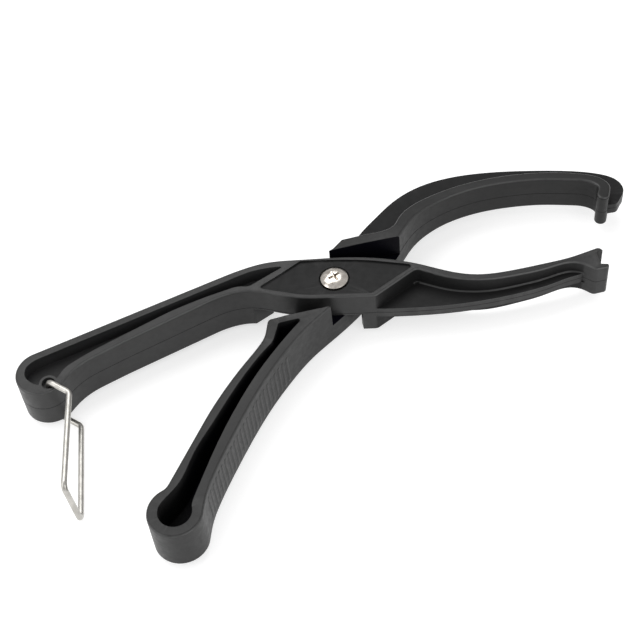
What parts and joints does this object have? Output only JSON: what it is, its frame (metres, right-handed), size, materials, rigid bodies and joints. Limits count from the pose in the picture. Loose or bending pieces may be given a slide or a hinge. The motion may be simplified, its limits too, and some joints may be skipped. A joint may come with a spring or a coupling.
{
  "type": "tyre bead pliers",
  "caption": "Long-jawed moulded plastic pliers: C jaw with a finger, straight jaw with a notched fork, bored pivot on a screw, and a swinging wire bail that holds the handles shut.",
  "frame": {"origin": "on the pivot axis, in the plane of the levers' bottom faces", "axes": "+X along the notch lever towards its fork, +Z along the pivot axis towards the screw head, +Y towards the C jaw; the handles point to -X"},
  "size_m": [0.2817, 0.1605, 0.028],
  "materials": {
    "lever_plastic": "satin charcoal, slightly worn sheen",
    "nickel_plate": "bright nickel plate",
    "nylon": "natural nylon",
    "wire": "drawn wire, nickel-plated"
  },
  "bodies": {
    "notch_lever_body": {"notch_lever": "lever_plastic"},
    "finger_lever_body": {"finger_lever": "lever_plastic", "pivot_screw": "nickel_plate", "lock_nut": "nickel_plate", "nut_insert": "nylon"},
    "bail": {"bail_wire": "wire"}
  },
  "joints": [
    {"name": "finger_pivot", "type": "hinge", "parent": "notch_lever_body", "child": "finger_lever_body", "pos_m": [0, 0, 0], "axis": [0, 0, 1], "range_deg": [-20.5, 27]},
    {"name": "bail_hinge", "type": "hinge", "parent": "notch_lever_body", "child": "bail", "pos_m": [-0.128, -0.0234, 0.012], "axis": [0, 0, 1], "range_deg": [-235, 100]}
  ]
}
